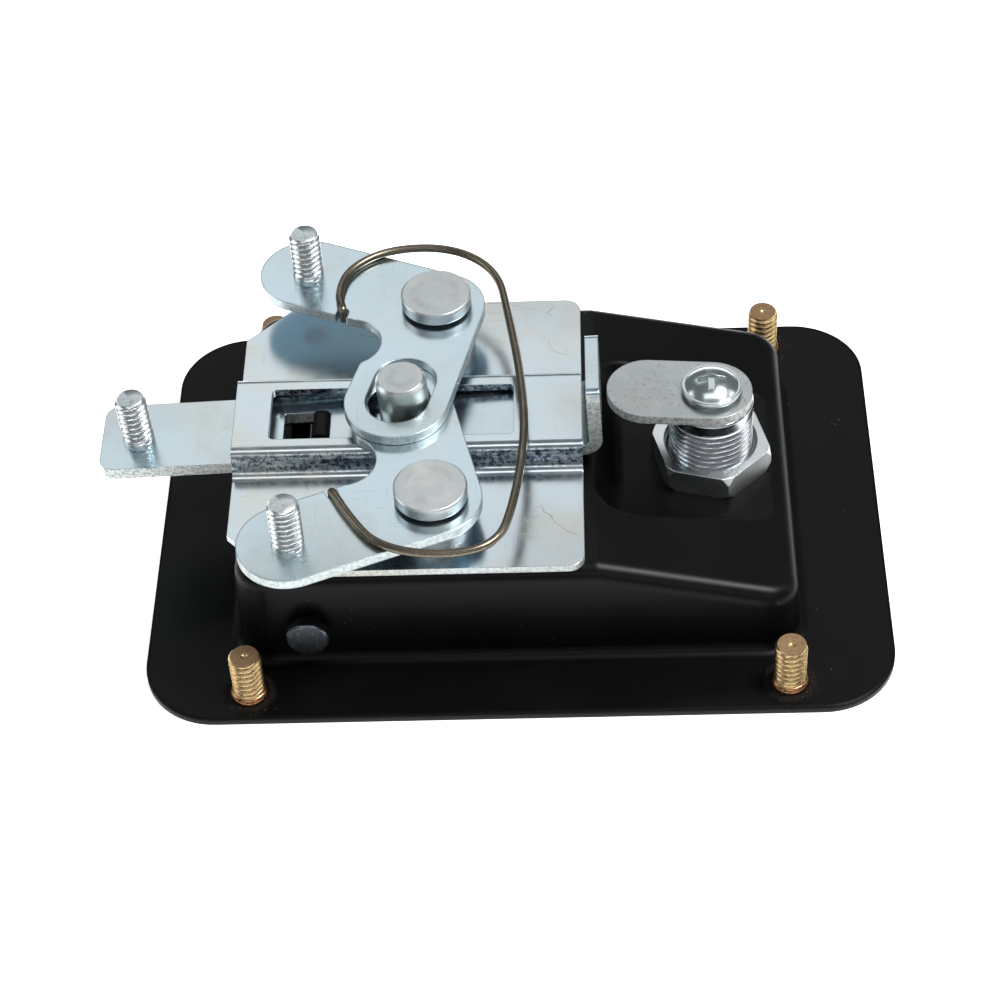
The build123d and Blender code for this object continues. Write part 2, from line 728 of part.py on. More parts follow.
with BuildPart() as lock_nut:
    nut_corner = nut_across_flats / 2 / cos(radians(30))
    bevel = (nut_corner - nut_across_flats / 2) * 1.15
    with BuildSketch(lock_centre.offset(pocket_floor_z)):
        Circle(nut_corner + 0.02)
    extrude(amount=nut_height)
    chamfer(lock_nut.edges(), length=bevel, angle=nut_chamfer_angle)
    with BuildSketch(lock_centre.offset(pocket_floor_z)):
        RegularPolygon(nut_across_flats / 2, 6, major_radius=False, rotation=nut_angle)
    extrude(amount=nut_height, mode=Mode.INTERSECT)
    with BuildSketch(lock_centre.offset(pocket_floor_z)):
        Circle(barrel_diameter / 2 + nut_hole_gap)
    extrude(amount=nut_height, mode=Mode.SUBTRACT)
    mouths = lock_nut.edges().filter_by(GeomType.CIRCLE).filter_by(
        lambda e: abs(e.radius - barrel_diameter / 2 - nut_hole_gap) < 0.01
    )
    chamfer(mouths, length=nut_hole_chamfer)
write(lock_nut.part, "lock_nut")

with BuildPart() as lock_cam:
    with BuildSketch(lock_centre.offset(cam_z)):
        with Locations(Location((0, 0), 180 - cam_skew)):
            with Locations((cam_centres / 2, 0)):
                SlotCenterToCenter(cam_centres, 2 * cam_radius)
        square_hole = plug_square + 2 * cam_square_gap
        Rectangle(square_hole, square_hole, rotation=-cam_skew, mode=Mode.SUBTRACT)
    extrude(amount=cam_thickness)
write(lock_cam.part, "lock_cam")

with BuildPart() as cam_washer:
    with BuildSketch(lock_centre.offset(cam_top_z)):
        Circle(washer_diameter / 2)
        Circle(screw_shank_diameter / 2, mode=Mode.SUBTRACT)
    extrude(amount=washer_thickness)
write(cam_washer.part, "cam_washer")

dome_z = screw_seat_z + screw_flange_height
dome_radius = ((screw_dome_diameter / 2) ** 2 + screw_dome_height**2) / (2 * screw_dome_height)
with BuildPart() as screw_dome:
    with Locations((lock_x, 0, dome_z + screw_dome_height - dome_radius)):
        Sphere(dome_radius)
    with Locations((lock_x, 0, dome_z - dome_radius)):
        Box(4 * dome_radius, 4 * dome_radius, 2 * dome_radius, mode=Mode.SUBTRACT)

with BuildPart() as cam_screw:
    with BuildSketch(lock_centre.offset(cam_top_z - screw_shank_length)):
        Circle(screw_shank_diameter / 2)
    extrude(amount=screw_shank_length + washer_thickness)
    with BuildSketch(lock_centre.offset(screw_seat_z)):
        Circle(screw_flange_diameter / 2)
    extrude(amount=screw_flange_height)
    fillet(cam_screw.edges().sort_by(Axis.Z)[-1], radius=0.3)
    add(screw_dome.part)
    with BuildSketch(lock_centre.offset(dome_z + screw_dome_height)):
        Rectangle(recess_span, recess_width)
        Rectangle(recess_width, recess_span)
    extrude(amount=-recess_depth, mode=Mode.SUBTRACT)
write(cam_screw.part, "cam_screw")
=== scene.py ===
"""Rear side of a flush three-point paddle latch: materials, threads, bow spring, studio and camera."""

import json
import logging
import math
from dataclasses import dataclass
from enum import Enum

import bpy
from mathutils import Matrix, Vector

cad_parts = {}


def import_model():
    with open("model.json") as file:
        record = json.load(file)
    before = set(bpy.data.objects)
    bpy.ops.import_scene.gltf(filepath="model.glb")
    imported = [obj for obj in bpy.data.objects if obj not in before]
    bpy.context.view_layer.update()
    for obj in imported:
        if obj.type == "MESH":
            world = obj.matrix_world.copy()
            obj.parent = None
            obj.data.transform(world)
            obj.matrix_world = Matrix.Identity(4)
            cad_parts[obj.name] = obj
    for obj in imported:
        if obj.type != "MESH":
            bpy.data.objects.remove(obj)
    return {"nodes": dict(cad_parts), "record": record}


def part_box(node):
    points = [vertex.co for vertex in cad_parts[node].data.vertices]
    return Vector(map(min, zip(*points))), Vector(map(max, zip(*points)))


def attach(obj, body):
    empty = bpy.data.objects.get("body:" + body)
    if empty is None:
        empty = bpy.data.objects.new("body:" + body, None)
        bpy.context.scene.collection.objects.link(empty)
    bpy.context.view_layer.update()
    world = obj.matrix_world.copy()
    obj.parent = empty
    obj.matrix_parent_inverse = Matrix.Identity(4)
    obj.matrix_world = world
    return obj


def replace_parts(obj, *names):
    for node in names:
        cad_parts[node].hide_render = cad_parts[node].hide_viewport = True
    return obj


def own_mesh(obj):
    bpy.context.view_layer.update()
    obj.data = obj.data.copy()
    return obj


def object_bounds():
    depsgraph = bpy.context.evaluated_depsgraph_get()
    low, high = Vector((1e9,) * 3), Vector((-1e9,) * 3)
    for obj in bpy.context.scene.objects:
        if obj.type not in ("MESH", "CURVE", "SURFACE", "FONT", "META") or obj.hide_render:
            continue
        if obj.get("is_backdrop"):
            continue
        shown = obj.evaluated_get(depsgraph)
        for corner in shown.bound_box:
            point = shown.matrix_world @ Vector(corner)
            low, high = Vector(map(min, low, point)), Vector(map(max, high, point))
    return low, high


logging.basicConfig(level=logging.INFO, format="%(name)s: %(message)s")
log = logging.getLogger("paddle_latch")

MM = 0.001
TO_MM = 1000.0
NO_RADIUS = 1e-6
Profile = list[tuple[float, float]]


class Axis(Enum):
    """The three axes of the latch, by their place in a vector."""

    X = 0
    Y = 1
    Z = 2


class CutEdges(Enum):
    """Which faces of a pressed piece are sheared through the sheet, and so show bare grey steel."""

    UPRIGHT = "every face that stands on edge"
    ENDS = "faces across the length, and the far sides"
    SIDES = "faces along both sides"
    NONE = "no face"


# ---------------------------------------------------------------- shader maths


class Sock:
    """A shader socket that arithmetic can be written on; each operation adds a Math node."""

    def __init__(self, graph: "Graph", socket: bpy.types.NodeSocket) -> None:
        """Keep the socket and the graph that it belongs to."""
        self.graph = graph
        self.socket = socket

    def math(self, operation: str, *values: "float | Sock") -> "Sock":
        """Add a Math node.

        Args:
            operation: the Math node's operation.
            values: its inputs, in order.

        Returns:
            The node's result.
        """
        inputs = dict(enumerate(values))
        return self.graph.node("ShaderNodeMath", {"operation": operation}, inputs)

    def __add__(self, other: "float | Sock") -> "Sock":
        """Sum."""
        return self.math("ADD", self, other)

    def __radd__(self, other: float) -> "Sock":
        """Sum, with the number first."""
        return self.math("ADD", other, self)

    def __sub__(self, other: "float | Sock") -> "Sock":
        """Difference."""
        return self.math("SUBTRACT", self, other)

    def __rsub__(self, other: float) -> "Sock":
        """Difference, with the number first."""
        return self.math("SUBTRACT", other, self)

    def __mul__(self, other: "float | Sock") -> "Sock":
        """Product."""
        return self.math("MULTIPLY", self, other)

    def __rmul__(self, other: float) -> "Sock":
        """Product, with the number first."""
        return self.math("MULTIPLY", other, self)

    def __abs__(self) -> "Sock":
        """Size without sign."""
        return self.math("ABSOLUTE", self)

    def __or__(self, other: "float | Sock") -> "Sock":
        """The larger of two masks."""
        return self.math("MAXIMUM", self, other)

    def root(self) -> "Sock":
        """Square root."""
        return self.math("SQRT", self)

    def step(self, low: float, high: float) -> "Sock":
        """A smooth mask, 0 below low and 1 above high; low above high turns it round."""
        settings = {"interpolation_type": "SMOOTHSTEP"}
        return self.graph.node("ShaderNodeMapRange", settings, {"Value": self, "From Min": low, "From Max": high})


class Graph:
    """The nodes of one material, with one method that makes them all."""

    def __init__(self, material: bpy.types.Material) -> None:
        """Open a material on its Principled shader."""
        self.material = material
        self.material.use_nodes = True
        self.tree = self.material.node_tree
        self.shader = self.tree.nodes["Principled BSDF"]
        coords = self.tree.nodes.new("ShaderNodeTexCoord")
        self.place = Sock(self, coords.outputs["Object"])
        self.facing = Sock(self, coords.outputs["Normal"])

    @classmethod
    def new(cls, name: str) -> "Graph":
        """Start a new material."""
        return cls(bpy.data.materials.new(name))

    def node(self, kind: str, settings: dict, inputs: dict, output: int | str = 0) -> Sock:
        """Add a node.

        Args:
            kind: the node's type.
            settings: its properties.
            inputs: values or links, by socket name or number.
            output: the output that is wanted.

        Returns:
            That output.
        """
        made = self.tree.nodes.new(kind)
        for key, value in settings.items():
            setattr(made, key, value)
        for key, value in inputs.items():
            if isinstance(value, Sock):
                self.tree.links.new(value.socket, made.inputs[key])
            else:
                made.inputs[key].default_value = value
        return Sock(self, made.outputs[output])

    def part(self, vector: Sock, axis: Axis) -> Sock:
        """One component of a vector."""
        return self.node("ShaderNodeSeparateXYZ", {}, {0: vector}, axis.value)

    def stretched(self, x: float, y: float, z: float) -> Sock:
        """Object coordinates scaled along each axis, for patterns with a direction."""
        return self.node("ShaderNodeMapping", {}, {"Vector": self.place, "Scale": (x, y, z)})

    def noise(self, scale: float, detail: float = 3.0, roughness: float = 0.55, at: Sock | None = None) -> Sock:
        """Noise between 0 and 1.

        Args:
            scale: features per metre.
            detail: octaves.
            roughness: how strong the finer octaves are.
            at: coordinates, if not the plain object ones.

        Returns:
            The noise value.
        """
        inputs = {"Vector": at or self.place, "Scale": scale, "Detail": detail, "Roughness": roughness}
        return self.node("ShaderNodeTexNoise", {}, inputs)

    def cells(self, scale: float, at: Sock | None = None) -> Sock:
        """Distance from the nearest of many scattered points."""
        return self.node("ShaderNodeTexVoronoi", {}, {"Vector": at or self.place, "Scale": scale})

    def mix(self, share: "float | Sock", low: object, high: object) -> Sock:
        """Blend two colours.

        Args:
            share: how much of the second.
            low: first colour, a triple or a link.
            high: second colour.

        Returns:
            The blended colour.
        """
        pair = [c if isinstance(c, Sock) else (*c, 1.0) for c in (low, high)]
        return self.node("ShaderNodeMix", {"data_type": "RGBA"}, {0: share, 6: pair[0], 7: pair[1]}, 2)

    def ring(self, x: float, y: float) -> Sock:
        """Distance in millimetres from an upright line through (x, y), given in millimetres."""
        across = self.part(self.place, Axis.X) * TO_MM - x
        along = self.part(self.place, Axis.Y) * TO_MM - y
        return (across * across + along * along).root()

    def tangle(self, scale: float, reach: float) -> Sock:
        """A small wandering offset, for lines that should not run straight."""
        free = self.node("ShaderNodeTexNoise", {}, {"Vector": self.place, "Scale": scale, "Detail": 3.0}, "Color")
        return self.node("ShaderNodeVectorMath", {"operation": "SCALE"}, {0: free, "Scale": reach})

    def bump(self, height: Sock, distance: float, strength: float = 1.0, onto: Sock | None = None) -> Sock:
        """A Bump node; distance is the relief's depth in metres."""
        inputs: dict = {"Height": height, "Distance": distance, "Strength": strength}
        if onto:
            inputs["Normal"] = onto
        return self.node("ShaderNodeBump", {}, inputs)

    def rounded(self, radius: float) -> Sock:
        """Normals that soften sharp edges by a radius in metres."""
        return self.node("ShaderNodeBevel", {"samples": 6}, {"Radius": radius})

    def finish(self, **sockets: object) -> bpy.types.Material:
        """Wire or set the shader's sockets, named with underscores for spaces.

        Args:
            sockets: values or links.

        Returns:
            The material.
        """
        for key, value in sockets.items():
            target = self.shader.inputs[key.replace("_", " ")]
            if isinstance(value, Sock):
                self.tree.links.new(value.socket, target)
            else:
                target.default_value = (*value, 1.0) if isinstance(value, tuple) else value
        return self.material


# ---------------------------------------------------------------- finishes


@dataclass(frozen=True)
class PowderCoat:
    """Black satin powder coat, with soft orange peel, dust, and scorched rings where studs were welded on."""

    name: str
    colour: tuple[float, float, float] = (0.0017, 0.0018, 0.0019)
    scorched: tuple[tuple[float, float], ...] = ()
    soft_edge: float = 1.1

    def build(self) -> bpy.types.Material:
        """Make the material."""
        g = Graph.new(self.name)
        cloud = g.noise(38.0, 4.0)
        peel = g.noise(1900.0, 2.0, 0.5)
        swell = g.noise(160.0, 2.0, 0.5)
        dust = g.cells(330.0).step(0.052, 0.03) * g.noise(90.0, 2.0).step(0.5, 0.62)
        lint = g.cells(900.0, g.stretched(1.0, 0.35, 1.0)).step(0.05, 0.03) * g.noise(140.0, 1.0).step(0.56, 0.66)
        colour = g.mix(cloud.step(0.35, 0.7), self.colour, tuple(1.5 * c for c in self.colour))
        colour = g.mix(dust * 0.35 + lint * 0.22, colour, (0.22, 0.23, 0.23))
        rough = 0.26 + cloud * 0.1 + peel * 0.04
        for x, y in self.scorched:
            away = g.ring(x, y) + (g.noise(520.0, 4.0, 0.7) - 0.5) * 1.8
            burnt = away.step(5.3, 4.4)
            grit = g.noise(3600.0, 3.0, 0.7).step(0.52, 0.7)
            colour = g.mix(burnt, colour, g.mix(grit, (0.0035, 0.003, 0.0028), (0.05, 0.022, 0.011)))
            fleck = g.cells(1500.0).step(0.13, 0.08) * away.step(6.4, 5.0)
            colour = g.mix(fleck * 0.5, colour, (0.3, 0.29, 0.27))
            rough = rough + burnt * 0.35
        normal = g.bump(peel * 0.5 + swell, 0.02 * MM, 0.5, g.rounded(self.soft_edge * MM))
        return g.finish(
            Base_Color=colour, Roughness=rough, Metallic=0.0, Normal=normal, Specular_IOR_Level=0.12
        )


@dataclass(frozen=True)
class ZincPlate:
    """Clear zinc plate on pressed steel: blue-white, clouded with cream, lightly scratched, speckled at cut edges;
    where asked, undersides and the channel's side walls get painted shade.

    Lengths are in millimetres: shaded_wall is the channel's half width, which sets where the channel's side walls
    get painted shade, edge_from is where the plate's far sides begin, and worn_ring is the place and radius of a
    rubbed ring.
    """

    name: str
    colour: tuple[float, float, float] = (0.60, 0.685, 0.73)
    warm: tuple[float, float, float] = (0.74, 0.72, 0.62)
    cloudiness: float = 0.55
    shine: float = 0.19
    edges: CutEdges = CutEdges.NONE
    torn: float = 0.5
    soot: float = 0.35
    hairlines: float = 0.0
    soot_from: float = 0.6
    shaded_wall: float = 0.0
    edge_from: float = 0.0
    worn_ring: tuple[float, float, float] | None = None
    under_shade: float = 0.0
    soft_edge: float = 0.22

    def _edge(self, g: Graph) -> Sock:
        """Mask of the sheared faces, from the way they face and where they are."""
        nx = abs(g.part(g.facing, Axis.X))
        ny = abs(g.part(g.facing, Axis.Y))
        nz = abs(g.part(g.facing, Axis.Z))
        if self.edges is CutEdges.UPRIGHT:
            return nz.step(0.5, 0.35)
        if self.edges is CutEdges.SIDES:
            return ny.step(0.6, 0.8)
        far = abs(g.part(g.place, Axis.Y)).step(self.edge_from * MM, (self.edge_from + 1.0) * MM)
        return nx.step(0.6, 0.8) | (far * nz.step(0.5, 0.35))

    def build(self) -> bpy.types.Material:
        """Make the material."""
        g = Graph.new(self.name)
        cloud = g.noise(46.0, 5.0, 0.62).step(0.42, 0.7)
        broad = g.noise(19.0, 3.0).step(0.38, 0.68)
        blotch = g.noise(310.0, 4.0, 0.6).step(0.45, 0.75)
        here = g.noise(60.0, 2.0).step(0.42, 0.6)
        scratch = g.noise(3300.0, 1.0, 0.4, g.stretched(1.0, 0.035, 1.0)).step(0.68, 0.73)
        hair = g.noise(4200.0, 1.0, 0.4, g.stretched(0.03, 0.8, 1.0)).step(0.69, 0.74)
        worn = (scratch | hair) * here
        dot = g.cells(760.0).step(0.075, 0.04) * g.noise(130.0, 2.0).step(0.48, 0.62)
        fine = g.noise(1250.0, 6.0, 0.78).step(self.soot_from, self.soot_from + 0.12)
        soot = fine * g.noise(85.0, 3.0).step(self.soot_from - 0.1, self.soot_from + 0.06)
        colour = g.mix(cloud * self.cloudiness, self.colour, self.warm)
        colour = g.mix(broad * 0.4, colour, tuple(0.74 * c for c in self.colour))
        colour = g.mix(blotch * 0.16, colour, (0.86, 0.88, 0.88))
        colour = g.mix(worn * 0.18, colour, (0.3, 0.32, 0.32))
        if self.hairlines > 0.0:
            drift = g.node("ShaderNodeVectorMath", {}, {0: g.place, 1: g.tangle(90.0, 0.008)})
            line = g.node("ShaderNodeTexVoronoi", {"feature": "DISTANCE_TO_EDGE"}, {"Vector": drift, "Scale": 55.0})
            crack = line.step(0.007, 0.002) * g.noise(48.0, 3.0).step(0.55, 0.6)
            colour = g.mix(crack * self.hairlines, colour, (0.2, 0.19, 0.17))
        colour = g.mix(dot * 0.6, colour, (0.13, 0.13, 0.12))
        colour = g.mix(soot * self.soot, colour, (0.14, 0.12, 0.095))
        rough = self.shine + cloud * 0.1 + blotch * 0.05 + broad * 0.05 + soot * 0.1
        relief = g.noise(75.0, 3.0, 0.5) * 2.0 + worn * -0.08 + g.noise(2200.0, 2.0) * 0.07 + soot * -0.05
        if self.edges is not CutEdges.NONE:
            edge = self._edge(g)
            tear = g.noise(1500.0, 5.0, 0.74)
            grain = g.mix(tear.step(0.44, 0.6), (0.66, 0.66, 0.6), (0.2, 0.21, 0.21))
            colour = g.mix(edge * self.torn, colour, grain)
            rough = rough + edge * self.torn * (0.3 + tear * 0.4)
            relief = relief + edge * tear * 0.35
        # painted shade: the channel's side walls, facing across the plate, are darkened towards navy and broken up
        # by fine speckle
        if self.shaded_wall > 0.0:
            wall_shade = abs(g.part(g.facing, Axis.Y)).step(0.55, 0.85)
            span = abs(g.part(g.place, Axis.Y))
            wall_shade = wall_shade * span.step((self.shaded_wall + 2.6) * MM, (self.shaded_wall + 1.6) * MM)
            rind = g.noise(1100.0, 6.0, 0.78).step(0.46, 0.56)
            tint = g.mix(g.noise(70.0, 2.0).step(0.4, 0.6), (0.018, 0.02, 0.055), (0.06, 0.08, 0.1))
            colour = g.mix(wall_shade * (0.5 + rind * 0.48), colour, tint)
            rough = rough + wall_shade * 0.1
        if self.worn_ring is not None:
            x, y, radius = self.worn_ring
            away = g.ring(x, y) + (g.noise(260.0, 3.0) - 0.5) * 1.4
            smear = away.step(radius - 1.7, radius - 1.0) * away.step(radius + 0.5, radius - 0.4)
            side = g.noise(170.0, 2.0).step(0.4, 0.62)
            top = g.part(g.facing, Axis.Z).step(0.7, 0.9)
            colour = g.mix(smear * side * top * 0.36, colour, (0.3, 0.32, 0.325))
            fleck = g.noise(1000.0, 6.0, 0.78).step(0.5, 0.66)
            colour = g.mix(top * (0.2 + fleck * 0.4), colour, (0.72, 0.73, 0.7))
            rough = rough + top * (0.1 + smear * 0.05)
        # painted shade: faces that point down are darkened towards dull dark blue
        if self.under_shade > 0.0:
            under = g.part(g.facing, Axis.Z).step(-0.7, -0.9)
            colour = g.mix(under * self.under_shade, colour, (0.07, 0.13, 0.175))
            rough = rough + under * 0.12
        normal = g.bump(relief, 0.03 * MM, 0.75, g.rounded(self.soft_edge * MM))
        return g.finish(Base_Color=colour, Roughness=rough, Metallic=1.0, Normal=normal)


@dataclass(frozen=True)
class ThreadMetal:
    """Plated thread: bright crests, painted shade in the roots mottled with dirt, painted shade on faces that point
    down, and a matt sawn end.
    """

    name: str
    colour: tuple[float, float, float]
    # colour of the painted shade in the thread roots
    root: tuple[float, float, float]
    end: tuple[float, float, float]
    end_from: float
    shine: float = 0.24

    def build(self) -> bpy.types.Material:
        """Make the material; the mesh's depth attribute says how deep in the thread a point is."""
        g = Graph.new(self.name)
        deep = g.node("ShaderNodeAttribute", {"attribute_name": "thread_depth"}, {}, "Fac")
        cloud = g.noise(330.0, 4.0, 0.6)
        grime_and_shade = g.noise(1700.0, 4.0, 0.7).step(0.42, 0.7)
        colour = g.mix(cloud.step(0.4, 0.65) * 0.6, self.colour, tuple(min(1.0, 1.3 * c) for c in self.colour))
        # painted shade: the thread's roots are darkened, unevenly through the dirt noise
        colour = g.mix(deep.step(0.3, 1.0) * (0.55 + grime_and_shade * 0.35), colour, self.root)
        top = g.part(g.place, Axis.Z).step(self.end_from * MM, (self.end_from + 0.35) * MM)
        flat = g.part(g.facing, Axis.Z).step(0.6, 0.9) * top
        scuff = g.mix(g.noise(2100.0, 5.0, 0.7).step(0.4, 0.65), self.end, tuple(0.72 * c for c in self.end))
        colour = g.mix(flat, colour, scuff)
        # painted shade: faces that point down, the lower flanks and undersides, are darkened towards dark teal
        under = g.part(g.facing, Axis.Z).step(-0.7, -0.9)
        colour = g.mix(under * 0.92, colour, (0.03, 0.055, 0.075))
        rough = self.shine + deep * 0.14 + grime_and_shade * 0.06 + flat * 0.14
        normal = g.bump(cloud + grime_and_shade * 0.3, 0.02 * MM, 0.35)
        return g.finish(Base_Color=colour, Roughness=rough, Metallic=1.0, Normal=normal)


@dataclass(frozen=True)
class DullSteel:
    """Dull or dark steel with drawn streaks, scuffs and a little rust."""

    name: str
    colour: tuple[float, float, float]
    scuff: tuple[float, float, float]
    rust: float = 0.0
    shine: float = 0.32
    streak: tuple[float, float, float] = (1.0, 1.0, 1.0)

    def build(self) -> bpy.types.Material:
        """Make the material."""
        g = Graph.new(self.name)
        patch = g.noise(140.0, 4.0, 0.6)
        line = g.noise(1500.0, 3.0, 0.6, g.stretched(*self.streak))
        pit = g.noise(2600.0, 4.0, 0.72).step(0.56, 0.7)
        colour = g.mix(line.step(0.5, 0.75) * 0.4, self.colour, self.scuff)
        colour = g.mix(pit * 0.2, colour, tuple(0.4 * c for c in self.colour))
        brown = patch.step(0.5, 0.66) * g.noise(900.0, 4.0, 0.7).step(0.42, 0.62)
        colour = g.mix(brown * self.rust, colour, (0.17, 0.075, 0.03))
        rough = self.shine + patch * 0.14 + brown * self.rust * 0.3
        normal = g.bump(line * 0.5 + pit * -0.2, 0.01 * MM, 0.5, g.rounded(0.2 * MM))
        return g.finish(Base_Color=colour, Roughness=rough, Metallic=1.0, Normal=normal)


@dataclass(frozen=True)
class BrightCasting:
    """Chromed or brass casting with faint mould grain."""

    name: str
    colour: tuple[float, float, float]
    shine: float = 0.14
    root_shade_colour: tuple[float, float, float] = (0.1, 0.105, 0.11)

    def build(self) -> bpy.types.Material:
        """Make the material; a thread's roots get painted shade."""
        g = Graph.new(self.name)
        deep = g.node("ShaderNodeAttribute", {"attribute_name": "thread_depth"}, {}, "Fac")
        cloud = g.noise(240.0, 4.0, 0.6)
        speck = g.cells(900.0).step(0.09, 0.05) * cloud.step(0.5, 0.62)
        colour = g.mix(cloud.step(0.4, 0.7) * 0.35, self.colour, tuple(0.7 * c for c in self.colour))
        # painted shade: the thread's roots are darkened
        colour = g.mix(deep.step(0.35, 1.0) * 0.8, colour, self.root_shade_colour)
        colour = g.mix(speck * 0.4, colour, (0.14, 0.14, 0.14))
        rough = self.shine + cloud * 0.1 + deep * 0.12
        normal = g.bump(cloud + g.noise(1800.0, 3.0) * 0.2, 0.02 * MM, 0.4, g.rounded(0.15 * MM))
        return g.finish(Base_Color=colour, Roughness=rough, Metallic=1.0, Normal=normal)


def dress(piece: bpy.types.Object, material: bpy.types.Material) -> None:
    """Give a piece one material in place of any it has."""
    piece.data.materials.clear()
    piece.data.materials.append(material)


# ---------------------------------------------------------------- turned pieces


@dataclass
class Thread:
    """A screw thread cut in part of a turned profile, in millimetres."""

    start: float
    end: float
    pitch: float = 1.25
    depth: float = 0.56
    run_out: float = 0.7
    crest_share: float = 0.12

    def cut(self, height: float, turn: float) -> float:
        """Depth of the groove, from 0 to 1.

        Args:
            height: distance along the axis.
            turn: angle as a share of a full turn.

        Returns:
            0 at a crest or off the thread, 1 at a root.
        """
        if height <= self.start or height >= self.end:
            return 0.0
        phase = (height / self.pitch - turn) % 1.0
        valley = 1.0 - abs(2.0 * phase - 1.0)
        groove = min(1.0, max(0.0, (valley - self.crest_share) / (1.0 - 2.0 * self.crest_share)))
        fade = min(1.0, (height - self.start) / self.run_out, (self.end - height) / self.run_out)
        return groove * fade


@dataclass
class Turned:
    """A turned solid: (radius, height) points spun about an axis, with threads where they are asked for."""

    name: str
    profile: Profile
    origin: tuple[float, float, float] = (0.0, 0.0, 0.0)
    lean: float = 0.0
    threads: tuple[Thread, ...] = ()
    segments: int = 56
    closed_loop: bool = False
    step: float = 0.1
    steepest: float = 1.2
    sharp_degrees: float = 40.0

    def _rows(self) -> Profile:
        """The profile with extra heights inside each thread."""
        rows: Profile = [self.profile[0]]
        for (r0, h0), (r1, h1) in zip(self.profile, self.profile[1:]):
            middle = (h0 + h1) / 2
            threaded = any(t.start < middle < t.end for t in self.threads) and abs(r1 - r0) < self.steepest
            threaded = threaded and h1 > h0
            count = max(1, round(abs(h1 - h0) / self.step)) if threaded else 1
            rows += [(r0 + (r1 - r0) * i / count, h0 + (h1 - h0) * i / count) for i in range(1, count + 1)]
        return rows

    def _radius(self, radius: float, height: float, turn: float, outward: bool) -> tuple[float, float]:
        """Radius after the thread is cut, and how deep the cut is from 0 to 1."""
        if not outward:
            return radius, 0.0
        deep = max((t.cut(height, turn) for t in self.threads), default=0.0)
        depth = max((t.depth for t in self.threads), default=0.0)
        inside = [r for r, h in self.profile if any(t.start <= h <= t.end for t in self.threads)]
        crest = radius if self.closed_loop else max(inside, default=radius)
        room = max(0.0, depth - (crest - radius))
        return radius - deep * min(depth, room), deep

    def build(self) -> bpy.types.Object:
        """Spin the profile into a closed mesh.

        Returns:
            The new object, at the origin, with a thread_depth attribute.
        """
        rows = self._rows()
        points: list[tuple[float, float, float]] = []
        depths: list[float] = []
        rings: list[list[int]] = []
        place = Matrix.Translation(Vector(self.origin) * MM) @ Matrix.Rotation(-self.lean, 4, "Y")
        for index, (radius, height) in enumerate(rows):
            before = rows[index - 1][1] if index else height
            outward = height >= before
            if radius < NO_RADIUS:
                points.append(tuple(place @ (Vector((0, 0, height)) * MM)))
                depths.append(0.0)
                rings.append([len(points) - 1] * self.segments)
                continue
            ring = []
            for k in range(self.segments):
                turn = k / self.segments
                r, deep = self._radius(radius, height, turn, outward)
                angle = 2 * math.pi * turn
                spot = Vector((r * math.cos(angle), r * math.sin(angle), height)) * MM
                points.append(tuple(place @ spot))
                depths.append(deep)
                ring.append(len(points) - 1)
            rings.append(ring)
        faces = []
        pairs = list(zip(rings, rings[1:])) + ([(rings[-1], rings[0])] if self.closed_loop else [])
        for low, high in pairs:
            for k in range(self.segments):
                n = (k + 1) % self.segments
                corners = list(dict.fromkeys((low[k], low[n], high[n], high[k])))
                if len(corners) > 2:
                    faces.append(corners)
        mesh = bpy.data.meshes.new(self.name)
        mesh.from_pydata(points, [], faces)
        mesh.attributes.new("thread_depth", "FLOAT", "POINT").data.foreach_set("value", depths)
        mesh.validate()
        mesh.shade_smooth()
        piece = bpy.data.objects.new(self.name, mesh)
        bpy.context.scene.collection.objects.link(piece)
        mesh.set_sharp_from_angle(angle=math.radians(self.sharp_degrees))
        return piece


